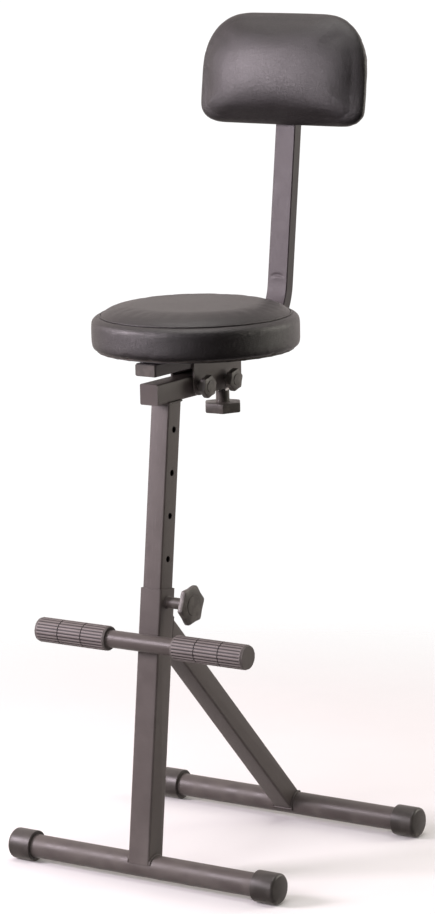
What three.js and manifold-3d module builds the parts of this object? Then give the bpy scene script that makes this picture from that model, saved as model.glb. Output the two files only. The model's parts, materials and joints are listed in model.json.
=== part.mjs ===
// Performer's stool: round padded seat, padded backrest on a bent bar, fluted footrest,
// two-bar floor frame.
// Millimetres, +Z up, front towards -Y, adjusting knobs on the +X side.
import * as THREE from 'three';
import { mergeVertices } from 'three/addons/utils/BufferGeometryUtils.js';
import Module from 'manifold-3d';

const wasm = await Module();
wasm.setup();

// ---- driving dimensions (mm) ----
const GAP = 0.3;
const FRAME_CENTRE_Y = 230.7;

const FLOOR_TUBE_R = 19;
const FLOOR_TUBE_WALL = 1.8;
const CAP_R = 24.9;
const CAP_FLAT_Z = 24.4;
const CAP_INNER_X = 213;
const CAP_OUTER_X = 255;
const CAP_WALL_END = 5;
const CAP_ROUND = 5;
const REAR_BAR_Y = 420;

const LEAN = THREE.MathUtils.degToRad(6.9);
const OUTER_SIDE = 40;
const OUTER_WALL = 2.2;
const OUTER_FOOT_W = 4;
const OUTER_TOP_W = 443;
const INNER_SIDE = 34.4;
const INNER_WALL = 2;
const INNER_FOOT_W = 300;
const HOLE_R = 5.2;
const HOLE_PITCH = 68;
const HOLE_COUNT = 5;
const PIN_W = 422;

const BRACE_SIDE = 35;
const BRACE_WALL = 2;
const BRACE_ANGLE = THREE.MathUtils.degToRad(46.1);

const REST_TUBE_R = 14;
const REST_TUBE_WALL = 1.6;
const REST_W = 358;
const REST_TUBE_HALF = 191;
const GRIP_R = 20;
const GRIP_INNER_X = 63;
const GRIP_OUTER_X = 198;
const GRIP_FLUTES = 22;
const GRIP_FLUTE_DEPTH = 1.1;
const GRIP_GROOVE = 1.6;

const CHANNEL_SIDE = 33;
const CHANNEL_WALL = 2;
const CHANNEL_Z = 773.5;
const CHANNEL_FRONT_Y = 44;
const CHANNEL_REAR_Y = 265;

const PIVOT_Y = 150;
const LOCK_Y = 225;
const TILT_MAX = THREE.MathUtils.degToRad(5);
const SIDE_BOLT_R = 4;
const SIDE_KNOB_R = 18.5;
const SIDE_KNOB_FACE_X = 32;
const SIDE_KNOB_DEPTH = 11;
const SIDE_KNOB_PHASE = 45;

const DEPTH_KNOB_Y = 247;
const BIG_KNOB_R = 32;
const DEPTH_KNOB_PHASE = 56;
const HEIGHT_KNOB_R = 32.5;
const HEIGHT_KNOB_PHASE = 45;
const HEIGHT_KNOB_FLARE = 0.42;
const BIG_KNOB_DEPTH = 16;
const BIG_BOLT_R = 5;

const EAR_INNER_X = 19.6;
const EAR_THICK = 3;
const EAR_FRONT_Y = 135;
const EAR_REAR_Y = 268.5;
const EAR_BOTTOM_Z = 758.5;
const PLATE_TOP_Z = 829.7;
const PLATE_THICK = 3;
const PLATE_HALF_X = 62;
const PLATE_FRONT_Y = 88;

const BAR_WIDTH = 38;
const BAR_THICK = 20;
const BAR_WALL = 1.8;
const BAR_Z = 813;
const BAR_FRONT_Y = 35;
const BAR_BEND_Y = 323;
const BAR_BEND_R = 100;
const BAR_LEAN = THREE.MathUtils.degToRad(7.4);
const BAR_TOP_LENGTH = 395;

const SEAT_Y = 174.7;
const SEAT_R = 165;
const SEAT_BOTTOM_Z = 830;
const SEAT_TOP_Z = 898;
const SEAT_SEAM_Z = 885.5;
const SEAT_BOARD_R = 157;
const SEAT_BOARD_THICK = 12;

const PAD_BOTTOM_S = 258.5;
const PAD_HEIGHT = 181.5;
const PAD_HALF_WIDTH = 155.5;
const PAD_DEPTH = 48;
const PAD_BOARD_THICK = 10;
const PAD_BOARD_INSET = 12;

// ---- finishes ----
const PAINT = { color: 0x5c5557, roughness: 0.45, metalness: 0.3 };
const RUBBER = { color: 0x252423, roughness: 0.8, metalness: 0 };
const PLASTIC = { color: 0x1f1e1d, roughness: 0.5, metalness: 0 };
const STEEL = { color: 0xb4b4b6, roughness: 0.35, metalness: 1 };
const VINYL = { color: 0x3b3534, roughness: 0.5, metalness: 0 };
const BOARD = { color: 0x9a7b55, roughness: 0.8, metalness: 0 };

// ---- helpers ----
function toSolid(geometry) {
  const bare = new THREE.BufferGeometry();
  const source = geometry.index ? geometry.toNonIndexed() : geometry;
  bare.setAttribute('position', source.getAttribute('position').clone());
  const merged = mergeVertices(bare, 1e-4);
  return new wasm.Manifold(new wasm.Mesh({
    numProp: 3,
    vertProperties: new Float32Array(merged.getAttribute('position').array),
    triVerts: new Uint32Array(merged.index.array),
  }));
}

function toGeometry(solid) {
  const mesh = solid.getMesh();
  const geometry = new THREE.BufferGeometry();
  geometry.setAttribute('position', new THREE.BufferAttribute(new Float32Array(mesh.vertProperties), 3));
  geometry.setIndex(new THREE.BufferAttribute(new Uint32Array(mesh.triVerts), 1));
  geometry.computeVertexNormals();
  return geometry;
}

function piece(name, shape, finish, parent) {
  const geometry = shape instanceof THREE.BufferGeometry ? shape : toGeometry(shape);
  const mesh = new THREE.Mesh(geometry, new THREE.MeshStandardMaterial(finish));
  mesh.name = name;
  parent.add(mesh);
  return mesh;
}

function turned(geometry, x, y, z) {
  geometry.applyMatrix4(new THREE.Matrix4().makeRotationFromEuler(new THREE.Euler(x, y, z)));
  return geometry;
}

function boxAt(x0, x1, y0, y1, z0, z1) {
  const box = new THREE.BoxGeometry(x1 - x0, y1 - y0, z1 - z0);
  return box.translate((x0 + x1) / 2, (y0 + y1) / 2, (z0 + z1) / 2);
}

// Solid round bar along X, Y or Z from one coordinate to another, centred on (a, b) in the other two axes.
function rod(axis, radius, from, to, a, b, sides = 32) {
  const bar = new THREE.CylinderGeometry(radius, radius, to - from, sides);
  const middle = (from + to) / 2;
  if (axis === 'x') return turned(bar, 0, 0, -Math.PI / 2).translate(middle, a, b);
  if (axis === 'y') return bar.translate(a, middle, b);
  return turned(bar, Math.PI / 2, 0, 0).translate(a, b, middle);
}

function roundedRect(width, height, radius) {
  const shape = new THREE.Shape();
  const x = width / 2;
  const y = height / 2;
  shape.moveTo(-x + radius, -y);
  shape.lineTo(x - radius, -y);
  shape.absarc(x - radius, -y + radius, radius, -Math.PI / 2, 0, false);
  shape.lineTo(x, y - radius);
  shape.absarc(x - radius, y - radius, radius, 0, Math.PI / 2, false);
  shape.lineTo(-x + radius, y);
  shape.absarc(-x + radius, y - radius, radius, Math.PI / 2, Math.PI, false);
  shape.lineTo(-x, -y + radius);
  shape.absarc(-x + radius, -y + radius, radius, Math.PI, Math.PI * 1.5, false);
  return shape;
}

function prism(shape, from, to, curveSegments = 3) {
  const options = { depth: to - from, bevelEnabled: false, curveSegments };
  return new THREE.ExtrudeGeometry(shape, options).translate(0, 0, from);
}

// Rectangular tube standing along Z.
function boxTube(width, depth, wall, corner, from, to) {
  const outer = toSolid(prism(roundedRect(width, depth, corner), from, to));
  const bore = roundedRect(width - 2 * wall, depth - 2 * wall, Math.max(corner - wall, 0.8));
  return outer.subtract(toSolid(prism(bore, from - 1, to + 1)));
}

function lathe(points, sides) {
  const profile = points.map(([r, z]) => new THREE.Vector2(r, z));
  return turned(new THREE.LatheGeometry(profile, sides), Math.PI / 2, 0, 0);
}

function lobedOutline(radius, dip, lobes, steps, phase) {
  const shape = new THREE.Shape();
  const count = lobes * steps;
  for (let i = 0; i < count; i += 1) {
    const angle = phase + (2 * Math.PI * i) / count;
    const wave = Math.cos((2 * Math.PI * i) / steps);
    const r = radius - (dip * (1 - wave)) / 2;
    if (i === 0) shape.moveTo(r * Math.cos(angle), r * Math.sin(angle));
    else shape.lineTo(r * Math.cos(angle), r * Math.sin(angle));
  }
  shape.closePath();
  return shape;
}

// Six straight sides drawn in slightly at their middles, with blunted corners.
function sixSidedOutline(radius, phase) {
  const shape = new THREE.Shape();
  const flat = radius * Math.cos(Math.PI / 6);
  const blunt = THREE.MathUtils.degToRad(6);
  for (let corner = 0; corner < 6; corner += 1) {
    const middle = phase + (corner * Math.PI) / 3;
    const shoulder = flat / Math.cos(Math.PI / 6 - blunt);
    const spots = [[-blunt, shoulder], [0, radius * 0.985], [blunt, shoulder], [Math.PI / 6, flat * 0.97]];
    for (const [turn, r] of spots) {
      const x = r * Math.cos(middle + turn);
      const y = r * Math.sin(middle + turn);
      if (corner === 0 && turn === -blunt) shape.moveTo(x, y);
      else shape.lineTo(x, y);
    }
  }
  shape.closePath();
  return shape;
}

// Clamping knob turned about Z: the hub runs from z = 0, then the six-sided head, then a shallow crown.
// A flare above 0 gives the head a tapered back over that share of its depth.
function handKnob(radius, headFrom, headDepth, hubRadius, boreRadius, boreDepth, phaseDegrees, flare = 0) {
  const bevel = 1.8;
  const rimFrom = headFrom + headDepth * flare;
  const outline = sixSidedOutline(radius - bevel, THREE.MathUtils.degToRad(phaseDegrees));
  const head = new THREE.ExtrudeGeometry(outline, {
    depth: headFrom + headDepth - rimFrom - 2 * bevel,
    bevelEnabled: true,
    bevelSize: bevel,
    bevelThickness: bevel,
    bevelSegments: 2,
  }).translate(0, 0, rimFrom + bevel);
  const hub = rod('z', hubRadius, 0, headFrom + 2, 0, 0, 24);
  const crownZ = headFrom + headDepth - 0.5;
  const crown = lathe([[0, crownZ], [radius * 0.52, crownZ], [radius * 0.48, crownZ + 1.4],
    [0, crownZ + 2]], 24);
  const bore = rod('z', boreRadius, -1, boreDepth, 0, 0, 16);
  let knob = toSolid(head).add(toSolid(hub)).add(toSolid(crown));
  if (flare > 0) {
    const taper = [[0, headFrom - 4], [hubRadius, headFrom - 4], [radius * 0.8, rimFrom + 1],
      [0, rimFrom + 1]];
    knob = knob.add(toSolid(lathe(taper, 24)));
  }
  return knob.subtract(toSolid(bore));
}

function hexNut(acrossFlats, height, boreRadius) {
  const nut = new THREE.CylinderGeometry(acrossFlats / Math.sqrt(3), acrossFlats / Math.sqrt(3), height, 6);
  const standing = turned(nut, Math.PI / 2, 0, 0).translate(0, 0, height / 2);
  return toSolid(standing).subtract(toSolid(rod('z', boreRadius, -1, height + 1, 0, 0, 16)));
}

// Bolt standing on z = 0 with its head below: shank from z = 0 up to its length.
function headedBolt(shankRadius, length, acrossFlats, headHeight) {
  const headRadius = acrossFlats / Math.sqrt(3);
  const head = turned(new THREE.CylinderGeometry(headRadius, headRadius, headHeight, 6), Math.PI / 2, 0, 0);
  const shank = rod('z', shankRadius, -1, length, 0, 0, 16);
  return toSolid(head.translate(0, 0, -headHeight / 2)).add(toSolid(shank));
}

// ---- floor frame ----
function addFloorBar(parent, label, y) {
  const half = CAP_OUTER_X - CAP_WALL_END - GAP;
  const tube = toSolid(rod('x', FLOOR_TUBE_R, -half, half, 0, 0, 40))
    .subtract(toSolid(rod('x', FLOOR_TUBE_R - FLOOR_TUBE_WALL, -half - 1, half + 1, 0, 0, 32)));
  piece(`${label}_floor_tube`, tube, PAINT, parent).position.set(0, y, CAP_FLAT_Z);
  addFloorCap(parent, `${label}_cap_left`, y, Math.PI);
  addFloorCap(parent, `${label}_cap_right`, y, 0);
}

// Moulded cap, a cup on the end of the tube with a narrow flat that stands on the floor.
function addFloorCap(parent, name, y, turn) {
  const length = CAP_OUTER_X - CAP_INNER_X;
  const r = CAP_R;
  const profile = [[0, length], [r - CAP_ROUND, length]];
  for (let i = 1; i <= 3; i += 1) {
    const angle = Math.PI / 2 - (i * Math.PI) / 6;
    profile.push([r - CAP_ROUND + CAP_ROUND * Math.cos(angle),
      length - CAP_ROUND + CAP_ROUND * Math.sin(angle)]);
  }
  profile.push([r, 1], [r - 1, 0], [0, 0]);
  const shell = turned(lathe(profile.reverse(), 40), 0, Math.PI / 2, 0);
  const bore = rod('x', FLOOR_TUBE_R + GAP, -1, length - CAP_WALL_END, 0, 0, 32);
  const foot = boxAt(-5, length + 5, -40, 40, -60, -CAP_FLAT_Z);
  const cap = toSolid(shell).subtract(toSolid(bore)).subtract(toSolid(foot));
  const mesh = piece(name, cap, RUBBER, parent);
  mesh.rotation.z = turn;
  mesh.position.set(turn === 0 ? CAP_INNER_X : -CAP_INNER_X, y, CAP_FLAT_Z);
}

function addBrace(parent) {
  const group = new THREE.Group();
  group.position.set(0, REAR_BAR_Y, CAP_FLAT_Z);
  group.rotation.x = Math.PI / 2 - BRACE_ANGLE;
  parent.add(group);
  const length = 600;
  const tube = boxTube(BRACE_SIDE, BRACE_SIDE, BRACE_WALL, 3, 6, length);
  const saddle = toSolid(rod('x', FLOOR_TUBE_R + GAP, -40, 40, 0, 0, 48));
  // Everything on the column's side of the column's rear face is cut away.
  const cutter = boxAt(-60, 60, -400, OUTER_SIDE / 2 + GAP, -100, 900);
  turned(cutter, -LEAN, 0, 0).translate(0, -REAR_BAR_Y, 0);
  turned(cutter, -(Math.PI / 2 - BRACE_ANGLE), 0, 0);
  piece('diagonal_brace', tube.subtract(saddle).subtract(toSolid(cutter)), PAINT, group);
}

// ---- columns and footrest, built along the leaning column ----
function addOuterColumn(mast) {
  const tube = boxTube(OUTER_SIDE, OUTER_SIDE, OUTER_WALL, 3.5, OUTER_FOOT_W, OUTER_TOP_W);
  const saddle = toSolid(rod('x', FLOOR_TUBE_R + GAP, -40, 40, 0, 0, 48));
  const screwHole = toSolid(rod('x', BIG_BOLT_R + GAP, 10, 30, 0, PIN_W, 28));
  piece('outer_column', tube.subtract(saddle).subtract(screwHole), PAINT, mast);
}

function addInnerColumn(mast) {
  let column = boxTube(INNER_SIDE, INNER_SIDE, INNER_WALL, 3, INNER_FOOT_W, 800);
  const topZ = CHANNEL_Z - CHANNEL_SIDE / 2 - GAP - CAP_FLAT_Z;
  const above = turned(boxAt(-50, 50, -300, 300, topZ, topZ + 300), LEAN, 0, 0);
  column = column.subtract(toSolid(above));
  for (let i = 0; i < HOLE_COUNT; i += 1) {
    const hole = rod('x', HOLE_R, 10, 25, 0, PIN_W + i * HOLE_PITCH, 20);
    column = column.subtract(toSolid(hole));
  }
  piece('inner_column', column, PAINT, mast);
}

function addHeightKnob(mast) {
  const face = OUTER_SIDE / 2 + GAP;
  const boss = toSolid(rod('x', 8.5, face, face + 12, 0, 0, 28))
    .subtract(toSolid(rod('x', BIG_BOLT_R + GAP, face - 2, face + 20, 0, 0, 28)));
  piece('column_boss', boss, PAINT, mast).position.set(0, 0, PIN_W);
  const hubX = face + 12.5;
  const knob = piece('height_knob', handKnob(HEIGHT_KNOB_R, 53 - hubX, BIG_KNOB_DEPTH, 9.2,
    BIG_BOLT_R + GAP, 24, HEIGHT_KNOB_PHASE, HEIGHT_KNOB_FLARE), PLASTIC, mast);
  knob.rotation.y = Math.PI / 2;
  knob.position.set(hubX, 0, PIN_W);
  const tip = INNER_SIDE / 2 + 0.4;
  const screw = rod('x', BIG_BOLT_R, tip, hubX + 23.5, 0, 0, 28);
  piece('height_screw', screw, STEEL, mast).position.set(0, 0, PIN_W);
}

function addFootrest(mast) {
  const y = -(OUTER_SIDE / 2 + REST_TUBE_R + GAP);
  const tube = toSolid(rod('x', REST_TUBE_R, -REST_TUBE_HALF, REST_TUBE_HALF, 0, 0, 36))
    .subtract(toSolid(rod('x', REST_TUBE_R - REST_TUBE_WALL, -400, 400, 0, 0, 28)));
  piece('footrest_tube', tube, PAINT, mast).position.set(0, y, REST_W);
  for (const [name, side] of [['footrest_grip_left', -1], ['footrest_grip_right', 1]]) {
    const grip = piece(name, gripSolid(), RUBBER, mast);
    grip.position.set(side * GRIP_INNER_X, y, REST_W);
    grip.rotation.y = (side * Math.PI) / 2;
  }
}

// Fluted sleeve along Z with a closed outer end and two ring grooves.
function gripSolid() {
  const length = GRIP_OUTER_X - GRIP_INNER_X;
  const outline = lobedOutline(GRIP_R, GRIP_FLUTE_DEPTH, GRIP_FLUTES, 4, 0);
  const valley = GRIP_R - GRIP_FLUTE_DEPTH - 0.3;
  const segment = length / 3;
  let grip = toSolid(rod('z', valley, 0, length, 0, 0, 22));
  for (let i = 0; i < 3; i += 1) {
    const from = i * segment + (i === 0 ? 3.5 : GRIP_GROOVE / 2);
    const to = (i + 1) * segment - (i === 2 ? 4 : GRIP_GROOVE / 2);
    grip = grip.add(toSolid(prism(outline, from, to)));
  }
  const r = GRIP_R - 0.5;
  grip = grip.add(toSolid(lathe([[0, 0], [r - 1.5, 0], [r, 1.5], [r, 4], [0, 4]], 32)));
  const end = [[0, length - 5], [r, length - 5], [r, length - 2.5], [r - 2.5, length], [0, length]];
  grip = grip.add(toSolid(lathe(end, 32)));
  const bore = rod('z', REST_TUBE_R + GAP, -1, REST_TUBE_HALF + GAP - GRIP_INNER_X, 0, 0, 28);
  return grip.subtract(toSolid(bore));
}

// ---- channel on top of the inner column ----
function addChannel(parent) {
  const length = CHANNEL_REAR_Y - CHANNEL_FRONT_Y;
  const tube = boxTube(CHANNEL_SIDE, CHANNEL_SIDE, CHANNEL_WALL, 2.5, 0, length);
  const laid = new THREE.Matrix4().makeRotationX(-Math.PI / 2);
  const solid = toSolid(toGeometry(tube).applyMatrix4(laid).translate(0, CHANNEL_FRONT_Y, CHANNEL_Z));
  const channel = solid
    .subtract(toSolid(rod('x', SIDE_BOLT_R + GAP, -30, 30, PIVOT_Y, CHANNEL_Z, 16)))
    .subtract(toSolid(rod('x', SIDE_BOLT_R + GAP, -30, 30, LOCK_Y, CHANNEL_Z, 16)))
    .subtract(toSolid(rod('z', BIG_BOLT_R + GAP, CHANNEL_Z - 30, CHANNEL_Z + 30, 0, DEPTH_KNOB_Y, 20)));
  piece('seat_channel', channel, PAINT, parent);
  addPlug(parent, 'channel_front_plug', CHANNEL_SIDE, CHANNEL_SIDE, CHANNEL_WALL, 2.5, PAINT,
    new THREE.Vector3(0, CHANNEL_FRONT_Y, CHANNEL_Z), new THREE.Euler(Math.PI / 2, 0, 0), 10);
  addPlug(parent, 'channel_rear_plug', CHANNEL_SIDE, CHANNEL_SIDE, CHANNEL_WALL, 2.5, PLASTIC,
    new THREE.Vector3(0, CHANNEL_REAR_Y, CHANNEL_Z), new THREE.Euler(-Math.PI / 2, 0, 0), 8);
}

// Push-in end plug: a thin face plate outside the tube mouth and a short spigot inside it, along +Z out.
function addPlug(parent, name, width, depth, wall, corner, finish, position, rotation, spigot) {
  const face = toSolid(prism(roundedRect(width, depth, corner), GAP, 2.6));
  const inner = roundedRect(width - 2 * wall - 2 * GAP, depth - 2 * wall - 2 * GAP, 1);
  const plug = face.add(toSolid(prism(inner, -spigot, 1)));
  const mesh = piece(name, plug, finish, parent);
  mesh.position.copy(position);
  mesh.rotation.copy(rotation);
}

// ---- tilting bracket under the seat ----
function addTiltBracket(parent) {
  const bottom = PLATE_TOP_Z - PLATE_THICK;
  const plate = boxAt(-PLATE_HALF_X, PLATE_HALF_X, PLATE_FRONT_Y, EAR_REAR_Y, bottom, PLATE_TOP_Z);
  let bracket = toSolid(plate);
  for (const side of [-1, 1]) {
    bracket = bracket.add(earSolid(side, bottom + 1));
  }
  for (const [x, y] of seatScrewSpots()) {
    bracket = bracket.subtract(toSolid(rod('z', 3 + GAP, bottom - 5, PLATE_TOP_Z + 5, x, y, 16)));
  }
  piece('tilt_bracket', bracket, PAINT, parent);
}

// Side ear: round hole on the pivot bolt and an arc slot for the locking bolt.
function earSolid(side, top) {
  const shape = new THREE.Shape();
  shape.moveTo(EAR_FRONT_Y, top);
  shape.lineTo(EAR_FRONT_Y, CHANNEL_Z);
  shape.absarc(PIVOT_Y, CHANNEL_Z, PIVOT_Y - EAR_FRONT_Y, Math.PI, Math.PI * 1.5, false);
  shape.lineTo(EAR_REAR_Y - 6, EAR_BOTTOM_Z);
  shape.lineTo(EAR_REAR_Y, EAR_BOTTOM_Z + 6);
  shape.lineTo(EAR_REAR_Y, top);
  shape.closePath();
  const pivot = new THREE.Path();
  pivot.absarc(PIVOT_Y, CHANNEL_Z, SIDE_BOLT_R + GAP, 0, Math.PI * 2, true);
  shape.holes.push(pivot);
  shape.holes.push(arcSlot());
  const ear = new THREE.ExtrudeGeometry(shape, { depth: EAR_THICK, bevelEnabled: false, curveSegments: 6 });
  // Drawn in (Y, Z), extruded along X.
  const matrix = new THREE.Matrix4().makeBasis(
    new THREE.Vector3(0, 1, 0), new THREE.Vector3(0, 0, 1), new THREE.Vector3(1, 0, 0));
  ear.applyMatrix4(matrix);
  ear.translate(side > 0 ? EAR_INNER_X : -EAR_INNER_X - EAR_THICK, 0, 0);
  return toSolid(ear);
}

function arcSlot() {
  const reach = LOCK_Y - PIVOT_Y;
  const half = SIDE_BOLT_R + 2 * GAP;
  const slack = THREE.MathUtils.degToRad(0.4);
  const lowest = -TILT_MAX - slack;
  const slot = new THREE.Path();
  const outer = reach + half;
  const inner = reach - half;
  slot.absarc(PIVOT_Y, CHANNEL_Z, outer, lowest, slack, false);
  const topY = PIVOT_Y + reach * Math.cos(slack);
  const topZ = CHANNEL_Z + reach * Math.sin(slack);
  slot.absarc(topY, topZ, half, slack, slack + Math.PI, false);
  slot.absarc(PIVOT_Y, CHANNEL_Z, inner, slack, lowest, true);
  const lowY = PIVOT_Y + reach * Math.cos(lowest);
  const lowZ = CHANNEL_Z + reach * Math.sin(lowest);
  slot.absarc(lowY, lowZ, half, lowest + Math.PI, lowest + 2 * Math.PI, false);
  return slot;
}

function addSideKnob(parent, label, y) {
  const hubX = EAR_INNER_X + EAR_THICK + GAP;
  const knob = piece(`${label}_knob`, handKnob(SIDE_KNOB_R, SIDE_KNOB_FACE_X - hubX, SIDE_KNOB_DEPTH, 7.5,
    SIDE_BOLT_R + GAP, 15, SIDE_KNOB_PHASE), PLASTIC, parent);
  knob.rotation.y = Math.PI / 2;
  knob.position.set(hubX, y, CHANNEL_Z);
  const nutX = -EAR_INNER_X - EAR_THICK - GAP;
  const bolt = rod('x', SIDE_BOLT_R, nutX - 8.5, hubX + 14.5, 0, 0, 24);
  piece(`${label}_bolt`, bolt, STEEL, parent).position.set(0, y, CHANNEL_Z);
  const nut = piece(`${label}_nut`, hexNut(13, 6.5, SIDE_BOLT_R + GAP), STEEL, parent);
  nut.rotation.y = -Math.PI / 2;
  nut.position.set(nutX, y, CHANNEL_Z);
}

function addDepthKnob(parent) {
  const under = CHANNEL_Z - CHANNEL_SIDE / 2 - GAP;
  const nut = piece('depth_nut', hexNut(19, 6, BIG_BOLT_R + GAP), STEEL, parent);
  nut.rotation.x = Math.PI;
  nut.position.set(0, DEPTH_KNOB_Y, under);
  const hubTop = under - 6.5;
  const knob = piece('depth_knob', handKnob(BIG_KNOB_R, 18, BIG_KNOB_DEPTH, 11, BIG_BOLT_R + GAP, 24,
    DEPTH_KNOB_PHASE), PLASTIC, parent);
  knob.rotation.x = Math.PI;
  knob.position.set(0, DEPTH_KNOB_Y, hubTop);
  const tip = BAR_Z - BAR_THICK / 2 - 0.4;
  piece('depth_screw', rod('z', BIG_BOLT_R, hubTop - 23.5, tip, 0, DEPTH_KNOB_Y, 28), STEEL, parent);
}

// ---- bent bar that carries the backrest ----
function bendEnd() {
  const turn = Math.PI / 2 - BAR_LEAN;
  return {
    turn,
    y: BAR_BEND_Y + BAR_BEND_R * Math.sin(turn),
    z: BAR_Z + BAR_BEND_R * (1 - Math.cos(turn)),
  };
}

// Side outline of the bar in (Y, Z), offset inwards by the given amount and lengthened at both ends.
function barOutline(inset, extra) {
  const { turn, y, z } = bendEnd();
  const half = BAR_THICK / 2 - inset;
  const centreZ = BAR_Z + BAR_BEND_R;
  const up = new THREE.Vector2(Math.sin(BAR_LEAN), Math.cos(BAR_LEAN));
  const back = new THREE.Vector2(Math.cos(BAR_LEAN), -Math.sin(BAR_LEAN));
  const top = new THREE.Vector2(y, z).addScaledVector(up, BAR_TOP_LENGTH + extra);
  const shape = new THREE.Shape();
  shape.moveTo(BAR_FRONT_Y - extra, BAR_Z - half);
  shape.lineTo(BAR_BEND_Y, BAR_Z - half);
  shape.absarc(BAR_BEND_Y, centreZ, BAR_BEND_R + half, -Math.PI / 2, -Math.PI / 2 + turn, false);
  shape.lineTo(top.x + back.x * half, top.y + back.y * half);
  shape.lineTo(top.x - back.x * half, top.y - back.y * half);
  shape.absarc(BAR_BEND_Y, centreZ, BAR_BEND_R - half, -Math.PI / 2 + turn, -Math.PI / 2, true);
  shape.lineTo(BAR_FRONT_Y - extra, BAR_Z + half);
  shape.closePath();
  return shape;
}

function barSolid(inset, extra, bevel) {
  const width = BAR_WIDTH - 2 * inset;
  const geometry = new THREE.ExtrudeGeometry(barOutline(inset + bevel, extra - bevel), {
    depth: width - 2 * bevel,
    bevelEnabled: bevel > 0,
    bevelSize: bevel,
    bevelThickness: bevel,
    bevelSegments: 1,
    curveSegments: 10,
  });
  const matrix = new THREE.Matrix4().makeBasis(
    new THREE.Vector3(0, 1, 0), new THREE.Vector3(0, 0, 1), new THREE.Vector3(1, 0, 0));
  return toSolid(geometry.applyMatrix4(matrix).translate(-width / 2 + bevel, 0, 0));
}

function alongPost(s) {
  const { y, z } = bendEnd();
  return new THREE.Vector3(0, y + s * Math.sin(BAR_LEAN), z + s * Math.cos(BAR_LEAN));
}

function addBackrestBar(parent) {
  let bar = barSolid(0, 0, 1.5).subtract(barSolid(BAR_WALL, 10, 0));
  for (const s of backBoltSpots()) {
    bar = bar.subtract(backBore(s, 3.5 + GAP));
  }
  piece('backrest_bar', bar, PAINT, parent);
  addPlug(parent, 'bar_front_plug', BAR_WIDTH - 2, BAR_THICK - 2, BAR_WALL - 1, 2, PLASTIC,
    new THREE.Vector3(0, BAR_FRONT_Y, BAR_Z), new THREE.Euler(Math.PI / 2, 0, 0), 10);
  addPlug(parent, 'bar_top_plug', BAR_WIDTH - 2, BAR_THICK - 2, BAR_WALL - 1, 2, PLASTIC,
    alongPost(BAR_TOP_LENGTH), new THREE.Euler(-BAR_LEAN, 0, 0), 10);
}

function backBoltSpots() {
  return [PAD_BOTTOM_S + 45, PAD_BOTTOM_S + 115];
}

// Round cutter square to the post, used for the two fixing bolts.
function backBore(s, radius) {
  const centre = alongPost(s);
  const bore = turned(rod('y', radius, -40, 40, 0, 0, 16), -BAR_LEAN, 0, 0);
  return toSolid(bore.translate(centre.x, centre.y, centre.z));
}

// ---- back pad, built square and laid on the post's front face ----
function padOutline(inset) {
  const halfWidth = PAD_HALF_WIDTH - inset;
  const low = inset;
  const high = PAD_HEIGHT - inset;
  const corners = [
    { x: halfWidth, z: low, rx: 36, rz: 28, from: -Math.PI / 2, sx: 1, sz: 1 },
    { x: halfWidth, z: high, rx: 80, rz: 90, from: 0, sx: 1, sz: -1 },
    { x: -halfWidth, z: high, rx: 80, rz: 90, from: Math.PI / 2, sx: -1, sz: -1 },
    { x: -halfWidth, z: low, rx: 36, rz: 28, from: Math.PI, sx: -1, sz: 1 },
  ];
  const steps = 7;
  const points = [];
  for (const corner of corners) {
    const rx = corner.rx - inset;
    const rz = corner.rz - inset;
    const centreX = corner.x - corner.sx * rx;
    const centreZ = corner.z + corner.sz * rz;
    for (let i = 0; i <= steps; i += 1) {
      const angle = corner.from + (i * Math.PI) / 2 / steps;
      points.push(new THREE.Vector2(centreX + rx * Math.cos(angle), centreZ + rz * Math.sin(angle)));
    }
  }
  return points;
}

// Cushion body: the pad outline stacked forwards, full size at the back and drawn in to a domed front.
function padSolid(backY) {
  const profile = [[0, 0.006], [0.2, 0], [0.42, 0.012], [0.58, 0.04], [0.72, 0.1], [0.84, 0.2], [0.93, 0.36],
    [0.985, 0.6]];
  const outline = padOutline(0);
  const count = outline.length;
  const middleZ = PAD_HEIGHT / 2;
  const positions = [];
  const index = [];
  for (const [depth, draw] of profile) {
    for (const point of outline) {
      positions.push(point.x * (1 - draw), backY - depth * PAD_DEPTH,
        middleZ + (point.y - middleZ) * (1 - draw));
    }
  }
  const last = (profile.length - 1) * count;
  const backCentre = positions.length / 3;
  positions.push(0, backY, middleZ);
  positions.push(0, backY - PAD_DEPTH, middleZ);
  for (let i = 0; i < count; i += 1) {
    const next = (i + 1) % count;
    for (let level = 0; level < profile.length - 1; level += 1) {
      const a = level * count + i;
      const b = level * count + next;
      index.push(a, b, b + count, a, b + count, a + count);
    }
    index.push(backCentre, next, i);
    index.push(backCentre + 1, last + i, last + next);
  }
  const geometry = new THREE.BufferGeometry();
  geometry.setAttribute('position', new THREE.Float32BufferAttribute(positions, 3));
  geometry.setIndex(index);
  return toSolid(geometry);
}

function addBackPad(parent) {
  const pad = new THREE.Group();
  pad.position.copy(alongPost(PAD_BOTTOM_S));
  pad.rotation.x = -BAR_LEAN;
  parent.add(pad);
  const front = -(BAR_THICK / 2 + GAP);
  const recess = boardPrism(PAD_BOARD_INSET - GAP, front + 5, front - PAD_BOARD_THICK - GAP);
  piece('back_cushion', padSolid(front).subtract(recess), VINYL, pad);
  let board = boardPrism(PAD_BOARD_INSET, front, front - PAD_BOARD_THICK);
  for (const s of backBoltSpots()) {
    board = board.subtract(toSolid(rod('y', 3.5 + GAP, front - 8, front + 5, 0, s - PAD_BOTTOM_S, 16)));
  }
  piece('back_board', board, BOARD, pad);
  for (const [index, s] of backBoltSpots().entries()) {
    const bolt = piece(index === 0 ? 'back_bolt_lower' : 'back_bolt_upper',
      headedBolt(3.5, BAR_THICK + 7, 11, 5), STEEL, pad);
    bolt.rotation.x = Math.PI / 2;
    bolt.position.set(0, BAR_THICK / 2 + GAP, s - PAD_BOTTOM_S);
  }
}

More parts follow.
